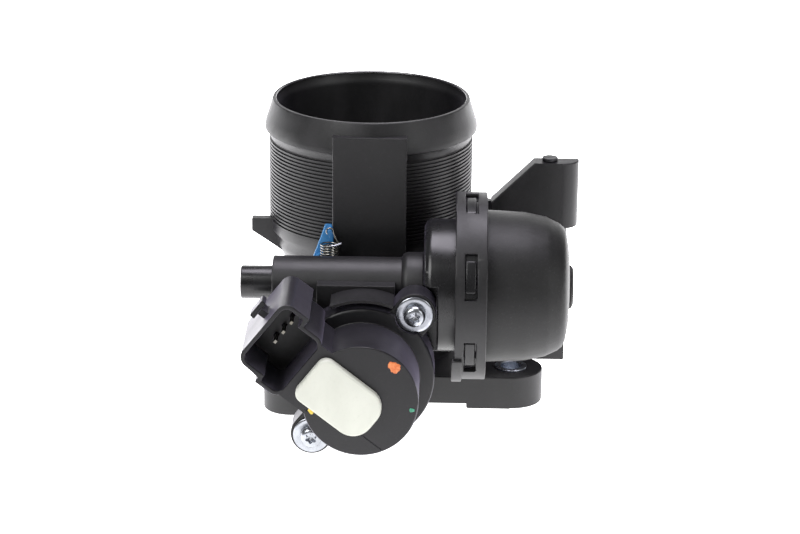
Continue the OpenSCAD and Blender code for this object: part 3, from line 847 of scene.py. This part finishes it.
@dataclass
class Housing:
    """Duct, flange, gear block and bracket in one moulding, with its steel inserts and seals."""

    bead_turn_r: float = 30.08
    bead_z: float = 91.68
    bead_r: float = 0.3

    def build(self) -> None:
        """Builds the moulding and what is pressed into it."""
        SoftenedPart("throttle_housing", Body.HOUSING, BLACK_PA, "black_moulding", 0.4,
                     left_sharp=on_hose_ribs).build()
        soften(Body.HOUSING, (
            ("mounting_sleeves", DRAWN_TUBE, "zinc_steel", 0.3, 3),
            ("bracket_stud", PHOSPHATED_STEEL, "dark_steel", 0.15, 2),
            ("rear_bore_plug", ZINC_STEEL, "zinc_steel", 0.4, 3),
        ))
        self.flange_ring()
        self.rim_bead()

    def rim_bead(self) -> None:
        """Polished witness bead round the inside of the inlet rim, catching a line of light."""
        log.info("inlet rim bead")
        turns = [math.radians(value) for value in range(0, 360, 30)]
        profile = [(self.bead_z + self.bead_r * math.sin(turn),
                    self.bead_turn_r + self.bead_r * math.cos(turn)) for turn in turns]
        # The bead's lighter shade is a painted highlight; its gloss catches the rest of the line
        # from the lamps.
        piece = object_from(spin_profile(profile, Axis.Z, (0, 0, 0)), "inlet_rim_bead", GLOSS_AND_PAINTED_HIGHLIGHT_PA)
        settle(piece, Body.HOUSING, weighted=False)

    def flange_ring(self) -> None:
        """Square-section sealing ring with a raised bead under the flange."""
        log.info("flange seal")
        profile = [(0.35, 26.95), (0.1, 27.3), (0.06, 27.7), (0.1, 28.1), (0.35, 28.45),
                   (1.5, 28.45), (1.5, 26.95)]
        piece = object_from(spin_profile(profile, Axis.Z, (0, 0, 0)), "flange_seal_ring", NITRILE)
        settle(piece, Body.HOUSING, ["flange_seal"])


@dataclass
class Throttle:
    """Shaft, butterfly and its screws, and the lever and gear at the shaft's front end."""

    def build(self) -> None:
        """Builds the turning pieces."""
        soften(Body.THROTTLE, (
            ("throttle_shaft", GROUND_STEEL, "ground_steel", 0.15, 2),
            ("throttle_plate", ROLLED_BRASS, "plate_brass", 0.2, 2),
            ("plate_screws", ZINC_STEEL, "zinc_steel", 0.2, 2),
            ("spring_lever", ZINC_STEEL, "zinc_steel", 0.25, 2),
            ("sector_gear", IVORY_POM, "gear_resin", 0.1, 1),
            ("gear_nut", ZINC_STEEL, "zinc_steel", 0.2, 2),
        ))


@dataclass
class TakeUp:
    """Extension spring, its post and the hook at each end."""

    wire: float = 0.25
    mean_r: float = 2.72
    centre: tuple[float, float] = (-11.3, -38.5)
    low_z: float = 34.3
    high_z: float = 56.0
    pin_z: float = 59.8
    lever_eye: tuple[float, float, float] = (-10.24, -38.5, 18.8)
    turns: int = 26
    per_turn: int = 20
    eye_r: float = 1.05
    hook_r: float = 0.9
    tail_wire: float = 0.38

    def build(self) -> None:
        """Builds the post and the spring."""
        soften(Body.HOUSING, (("spring_hanger", BLUE_PBT, "blue_moulding", 0.4, 3),))
        self.spring()

    def spring(self) -> None:
        """Close-wound coil with a hook over the post's pin and a long hook down to the lever."""
        log.info("take-up spring")
        x, y = self.centre
        count = self.turns * self.per_turn
        coil = [
            Vector((
                x + self.mean_r * math.cos(math.tau * i / self.per_turn),
                y + self.mean_r * math.sin(math.tau * i / self.per_turn),
                self.low_z + (self.high_z - self.low_z) * i / count,
            ))
            for i in range(count + 1)
        ]
        top = [Vector((x + 2.35, y, self.high_z + 0.5)), Vector((x + 1.95, y, self.high_z + 1.3)),
               Vector((x + 1.2, y, self.pin_z - 0.5))]
        for angle in (math.radians(value) for value in range(0, 241, 20)):
            top.append(Vector((x + self.eye_r * math.cos(angle), y,
                               self.pin_z + self.eye_r * math.sin(angle))))
        eye_x, eye_y, eye_z = self.lever_eye
        hook_z = eye_z + self.hook_r - 0.5
        bottom = []
        for angle in (math.radians(value) for value in range(-150, 91, 20)):
            bottom.append(Vector((eye_x + self.hook_r * math.sin(angle), eye_y,
                                  hook_z - self.hook_r * math.cos(angle))))
        bottom += [Vector((eye_x + 1.0, eye_y, eye_z + 3.0)),
                   Vector((x + self.mean_r, y, self.low_z - 1.2))]
        piece = wire_along(bottom + coil + top, self.wire, "take_up_spring_wire", SPRING_WIRE)
        settle(piece, Body.HOUSING, ["take_up_spring"], weighted=False)
        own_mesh(piece)
        self.tail()

    def tail(self) -> None:
        """Cut end of the coil, bent out beside its top turn."""
        x, y = self.centre
        bends = [(0.4, -2.9, -0.1), (1.4, -2.8, 0.0), (2.5, -2.3, 0.2), (3.5, -1.8, 0.5)]
        points = [Vector((x + right, y + back, self.high_z + up)) for right, back, up in bends]
        piece = wire_along(points, self.tail_wire, "take_up_spring_tail", ZINC_STEEL)
        settle(piece, Body.HOUSING, weighted=False)


@dataclass
class Rack:
    """Rod with its rack, the diaphragm and the return spring inside the capsule."""

    spring_start: float = 28.6
    spring_end: float = 57.6
    spring_r: float = 10.0
    spring_wire: float = 0.8
    spring_turns: int = 7
    dead_turns: float = 1.2
    per_turn: int = 28
    ground_share: float = 0.98

    def build(self) -> None:
        """Builds the sliding pieces and the rubber that joins them to the capsule."""
        soften(Body.RACK, (
            ("rack_rod", IVORY_POM, "gear_resin", 0.12, 1),
            ("diaphragm_piston", GREY_PISTON, "piston_resin", 0.25, 2),
            ("rod_nut", ZINC_STEEL, "zinc_steel", 0.2, 2),
        ))
        self.diaphragm()
        self.return_spring()

    def diaphragm(self) -> None:
        """Thin rolled rubber between the clamped bead and the piston."""
        log.info("diaphragm")
        profile = [
            (25.15, 2.1), (25.15, 14.5), (25.3, 15.0), (25.9, 15.55), (27.2, 16.0), (28.6, 16.4),
            (29.3, 16.9), (29.7, 17.8), (29.7, 25.5), (30.7, 25.5), (30.7, 17.2), (30.2, 16.2),
            (29.2, 15.7), (27.8, 15.5), (26.8, 15.2), (26.1, 14.7), (25.85, 14.2), (25.85, 2.1),
        ]
        bm = spin_profile(profile, Axis.X, (0, TUBE_Y, TUBE_Z))
        piece = object_from(bm, "rolling_diaphragm", NITRILE)
        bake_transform(piece)
        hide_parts("diaphragm")

    def return_spring(self) -> None:
        """Compression spring with closed, ground ends."""
        log.info("capsule spring")
        turns, dead, radius = self.spring_turns, self.dead_turns, self.spring_r
        dead_pitch = 2 * self.spring_wire * self.ground_share
        open_length = self.spring_end - self.spring_start - 2 * dead_pitch * dead
        points = []
        for i in range(turns * self.per_turn + 1):
            turn = i / self.per_turn
            share = min(max((turn - dead) / (turns - 2 * dead), 0.0), 1.0)
            closed = min(turn, dead) + max(turn - (turns - dead), 0.0)
            x = self.spring_start + dead_pitch * closed + open_length * share
            y = TUBE_Y + radius * math.cos(math.tau * turn)
            z = TUBE_Z + radius * math.sin(math.tau * turn)
            points.append(Vector((x, y, z)))
        piece = wire_along(points, self.spring_wire, "capsule_spring_wire", SPRING_WIRE)
        settle(piece, Body.HOUSING, ["capsule_spring"], weighted=False)
        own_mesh(piece)


@dataclass
class Capsule:
    """Vacuum capsule: base with its snap tabs, lock ring, cover, plug and two nipples."""

    def build(self) -> None:
        """Builds the capsule from its base outwards."""
        soften(Body.HOUSING, (
            ("capsule_base", GLOSS_PA, "gloss_black_moulding", 0.45, 3),
            ("lock_ring", BLACK_PA, "black_moulding", 0.35, 3),
            ("vacuum_nipple", BLACK_PA, "black_moulding", 0.25, 3),
            ("vent_nipple", GLOSS_PA, "gloss_black_moulding", 0.3, 3),
            ("capsule_cover", COVER_PA, "black_moulding", 0.3, 2),
            ("cover_plug", NITRILE, "rubber", 0.25, 3),
        ))


@dataclass
class Sensor:
    """Rotary sensor: moulded body, closed face, membrane cap, screws and paint marks."""

    face_y: float = -93.2
    ear_y: float = -71.5
    ear_reach: float = 24.7
    washer_gauge: float = 1.0
    cap_box: tuple[float, float, float, float] = (-17.2, -10.5, 7.0, 5.2)
    cap_corners: tuple[float, float] = (3.0, 6.1)
    cap_height: float = 2.5
    cap_rim: float = 0.8
    corner_steps: int = 8

    def build(self) -> None:
        """Builds the sensor and its fixings."""
        soften(Body.HOUSING, (("sensor_body", SENSOR_PBT, "black_moulding", 0.4, 3),))
        self.membrane_cap()
        for index, side in enumerate((-1, 1)):
            self.washer(index, side)
            self.screw(index, side)
        self.paint_marks()

    def membrane_cap(self) -> None:
        """White cap with a softly crowned top."""
        log.info("membrane cap")
        left, low, right, high = self.cap_box
        left_r, right_r = self.cap_corners
        bm = bmesh.new()
        corners = [
            (left + left_r, low + left_r, left_r, 180),
            (right - right_r, low + right_r, right_r, 270),
            (right - right_r, high - right_r, right_r, 0),
            (left + left_r, high - left_r, left_r, 90),
        ]
        verts = []
        for centre_x, centre_y, radius, first in corners:
            for step in range(self.corner_steps + 1):
                angle = math.radians(first + 90 * step / self.corner_steps)
                verts.append(bm.verts.new(((centre_x + radius * math.cos(angle)) * MM,
                                           (centre_y + radius * math.sin(angle)) * MM, 0)))
        base = bm.faces.new(verts)
        made = bmesh.ops.extrude_face_region(bm, geom=[base])["geom"]
        top = [item for item in made if isinstance(item, bmesh.types.BMVert)]
        bmesh.ops.translate(bm, verts=top, vec=(0, 0, self.cap_height * MM))
        rim = [edge for edge in bm.edges if all(vert in top for vert in edge.verts)]
        bmesh.ops.recalc_face_normals(bm, faces=bm.faces)
        bmesh.ops.bevel(
            bm, geom=rim, offset=self.cap_rim * MM, affect="EDGES", segments=4, profile=0.5,
            material=-1,
        )
        seat_on_sensor(bm, 0, 0, self.face_y)
        piece = object_from(bm, "membrane_cap", WHITE_PBT, 50.0)
        settle(piece, Body.HOUSING, ["sensor_vent_cap"])

    def washer(self, index: int, side: int) -> None:
        """Plain washer with a rolled rim and a shallow dish.

        Args:
            index: Number of the washer.
            side: Minus one for the lower screw, one for the upper.
        """
        log.info("washer %d", index)
        rings = [(2.2, 0.0), (5.25, 0.0), (5.5, 0.12), (5.58, 0.4), (5.5, 0.72),
                 (5.2, 0.92), (4.6, 0.98), (3.9, 0.9), (3.5, 0.86), (2.2, 0.86)]
        bm = spin_profile([(height, radius) for radius, height in rings], Axis.Z, (0, 0, 0), 72)
        seat_on_sensor(bm, 0, side * self.ear_reach, self.ear_y)
        piece = object_from(bm, f"sensor_washer_{index}", ZINC_STEEL)
        settle(piece, Body.HOUSING, ["sensor_washers"] if index == 0 else [])

    def screw(self, index: int, side: int) -> None:
        """Pan-head screw with a six-lobed drive.

        Args:
            index: Number of the screw.
            side: Minus one for the lower screw, one for the upper.
        """
        log.info("sensor screw %d", index)

        def lobes(share: float) -> RingRadius:
            """Six-lobed outline at a share of the drive's size."""
            return lambda angle: share * (1.5 + 0.24 * math.cos(6 * angle))

        rings = [
            (even(1.3), -13.5), (even(1.95), -12.4), (even(1.95), 0.0), (even(3.05), 0.0),
            (even(3.28), 0.22), (even(3.3), 0.9), (even(3.2), 1.5), (even(2.9), 2.05),
            (even(2.45), 2.4), (even(2.0), 2.56), (lobes(1.04), 2.6), (lobes(1.0), 2.45),
            (lobes(0.86), 1.1), (even(0.4), 0.8),
        ]
        bm = ring_stack(rings)
        seat_on_sensor(bm, 0, side * self.ear_reach, self.ear_y - self.washer_gauge)
        piece = object_from(bm, f"sensor_screw_{index}", ZINC_STEEL)
        settle(piece, Body.HOUSING, ["sensor_screws"] if index == 0 else [])

    def paint_marks(self) -> None:
        """Dabs of marking paint left by assembly checks."""
        log.info("paint marks")
        self.dab("orange_mark", (1.0, 14.6), 1.75, ORANGE_PAINT, 1.7)
        self.dab("green_mark", (13.3, 7.4), 0.7, GREEN_PAINT, 0.4)
        self.dab("yellow_mark", (-9.3, -11.3), 0.9, YELLOW_PAINT, 2.6)

    def dab(
        self, name: str, place: tuple[float, float], radius: float, finish: Finish, phase: float
    ) -> None:
        """One uneven dab of paint on the sensor's face.

        Args:
            name: Name of the piece.
            place: Position on the face in the sensor's own frame, in millimetres.
            radius: Rough radius in millimetres.
            finish: Paint that it is made of.
            phase: Shifts the waves of its outline.
        """

        def outline(scale: float) -> RingRadius:
            """Wavy outline at a share of the full radius."""
            return lambda angle: scale * radius * (
                1 + 0.12 * math.sin(2 * angle + phase) + 0.1 * math.sin(3 * angle - phase)
                + 0.06 * math.sin(7 * angle) + 0.04 * math.sin(13 * angle + phase)
            )

        rings = [(outline(1.0), -0.02), (outline(0.97), 0.04), (outline(0.85), 0.08),
                 (outline(0.5), 0.1), (outline(0.1), 0.11)]
        bm = ring_stack(rings)
        seat_on_sensor(bm, *place, self.face_y)
        settle(object_from(bm, name, finish), Body.HOUSING, weighted=False)


@dataclass
class HiddenParts:
    """CAD nodes whose shape is right as it stands, and which only need their finish."""

    finishes: dict[str, Finish] = field(default_factory=lambda: {
        "front_bearing": SINTERED_BRONZE,
        "rear_bearing": SINTERED_BRONZE,
        "gear_end_bush": SINTERED_BRONZE,
        "shaft_seal": NITRILE,
        "diaphragm_plate": ZINC_STEEL,
        "sensor_cover": SENSOR_PBT,
        "sensor_seal": RED_SILICONE,
        "sensor_rotor": GREY_PISTON,
        "rotor_magnet": FERRITE,
        "sensor_board": BOARD_FR4,
        "connector_pins": TINNED_BRONZE,
        "sensor_sleeves": ZINC_STEEL,
    })

    def dress(self) -> None:
        """Puts each finish on its node."""
        for node, finish in self.finishes.items():
            log.info("finish of %s", node)
            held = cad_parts[node]
            if not held.material_slots:
                held.data.materials.append(finish.material())
            for place in held.material_slots:
                place.material = finish.material()


@dataclass
class Studio:
    """Pale sweep in metres, and soft lights and a camera in millimetres."""

    lens: float = 126.0
    distance: float = 898.5
    target: tuple[float, float, float] = (9.538, 0.0, 35.336)
    elevation: float = 19.1
    azimuth: float = 1.0
    roll: float = 0.6
    frame_width: float = 36.0
    farthest: float = 20.0
    air_glow: float = 0.2
    apron_glow: float = 0.32
    table_glow: float = 1.35
    far_glow: float = 2.0
    wall_share: float = 0.32
    apron_end: tuple[float, float] = (-0.19, -0.13)
    far_start: tuple[float, float] = (-0.1, 0.08)
    wall_fade: tuple[float, float] = (0.02, 0.35)
    half_floor: float = 3.0
    set_back: float = 1.2
    wall_height: float = 3.0
    wall_lean: float = 0.4
    bend: float = 1.0

    def build(self) -> None:
        """Sets up the floor, the lights and the camera."""
        log.info("studio")
        self.floor()
        self.sky()
        self.lamp("key", (-520, -640, 760), 620, 7.0)
        self.lamp("fill", (720, -560, 380), 500, 1.6)
        self.lamp("top", (60, 80, 980), 560, 8.0, (0.94, 0.9, 1.0))
        self.camera()

    def floor(self) -> None:
        """Pale floor that bends up far behind the part."""
        bm = bmesh.new()
        bmesh.ops.create_grid(bm, x_segments=1, y_segments=1, size=self.half_floor)
        bmesh.ops.translate(bm, verts=bm.verts, vec=(0, self.set_back, 0))
        rear = self.half_floor + self.set_back
        far = [edge for edge in bm.edges if all(vert.co.y > rear - 0.1 for vert in edge.verts)]
        raised = bmesh.ops.extrude_edge_only(bm, edges=far)["geom"]
        top = [item for item in raised if isinstance(item, bmesh.types.BMVert)]
        bmesh.ops.translate(bm, verts=top, vec=(0, self.wall_lean, self.wall_height))
        fold = [edge for edge in bm.edges
                if all(abs(vert.co.y - rear) < 0.1 for vert in edge.verts)]
        bmesh.ops.bevel(
            bm, geom=fold, offset=self.bend, affect="EDGES", segments=12, profile=0.5, material=-1
        )
        bmesh.ops.recalc_face_normals(bm, faces=bm.faces)
        for face in bm.faces:
            face.smooth = True
        mesh = bpy.data.meshes.new("studio_sweep")
        bm.to_mesh(mesh)
        bm.free()
        mesh.materials.append(self.paper())
        sweep = add_object("studio_sweep", mesh)

    def paper(self) -> bpy.types.Material:
        """Matte white paper, dim in front of the part, bright under and behind it, dim up the wall.

        Returns:
            The node material.
        """
        material, tree = new_material("matte_white_paper")
        coords = object_coords(tree)
        colour = blend_colours(tree, cloud(tree, coords, 2.0), "#E4E4E4", "#E8E8E8")
        place = add_node(tree, "ShaderNodeSeparateXYZ", links={"Vector": coords}).outputs
        near = remap(tree, place["Y"], *self.apron_end, self.apron_glow, self.table_glow)
        far = remap(tree, place["Y"], *self.far_start, 0.0, self.far_glow)
        fade = remap(tree, place["Z"], *self.wall_fade, 1.0, self.wall_share)
        glow = near
        for step, other in (("ADD", far), ("MULTIPLY", fade)):
            links = {0: glow, 1: other}
            glow = add_node(tree, "ShaderNodeMath", {"operation": step}, links=links).outputs[0]
        finish_shader(
            tree,
            {"Roughness": 0.9, "Emission Color": (1, 1, 1, 1)},
            {"Base Color": colour, "Emission Strength": glow},
        )
        return material

    def sky(self) -> None:
        """Even white surroundings."""
        world = bpy.data.worlds.new("studio_air")
        world.use_nodes = True
        air = world.node_tree.nodes["Background"].inputs
        air["Color"].default_value = (1, 1, 1, 1)
        air["Strength"].default_value = self.air_glow
        bpy.context.scene.world = world
        bpy.context.scene.view_settings.view_transform = "Standard"

    def lamp(
        self, name: str, place: Sequence[float], width: float, watts: float,
        tint: tuple[float, float, float] = (1.0, 1.0, 1.0),
    ) -> None:
        """Square soft box aimed at the part.

        Args:
            name: Name of the lamp.
            place: Position in millimetres.
            width: Width and height in millimetres.
            watts: Power.
            tint: Colour of its light.
        """
        light = bpy.data.lights.new(name, "AREA")
        light.shape = "RECTANGLE"
        light.size = light.size_y = width * MM
        light.energy = watts
        light.color = tint
        holder = add_object(name, light)
        holder.location = Vector(place) * MM
        aim = (Vector(self.target) * MM - holder.location).to_track_quat("-Z", "Y")
        holder.rotation_euler = aim.to_euler()

    def camera(self) -> None:
        """Camera at the viewing angle, with no shift and no depth of field."""
        az, el, turn = (math.radians(value) for value in (self.azimuth, self.elevation, self.roll))
        back = Vector((math.sin(az) * math.cos(el), -math.cos(az) * math.cos(el), math.sin(el)))
        right = Vector((0, 0, 1)).cross(back).normalized()
        up = back.cross(right)
        rolled_right = math.cos(turn) * right + math.sin(turn) * up
        rolled_up = -math.sin(turn) * right + math.cos(turn) * up
        laid = Matrix((rolled_right, rolled_up, back)).transposed().to_4x4()
        laid.translation = (Vector(self.target) + self.distance * back) * MM
        data = bpy.data.cameras.new("camera")
        data.lens = self.lens
        data.sensor_width = self.frame_width
        data.clip_end = self.farthest
        holder = add_object("camera", data)
        holder.matrix_world = laid
        bpy.context.scene.camera = holder


def main() -> None:
    """Builds the studio, then every sub-assembly in order, then dresses the hidden parts."""
    logging.basicConfig(level=logging.INFO, format="%(name)s: %(message)s")
    Studio().build()
    Housing().build()
    Throttle().build()
    TakeUp().build()
    Rack().build()
    Capsule().build()
    Sensor().build()
    HiddenParts().dress()


if __name__ == "__main__":
    main()
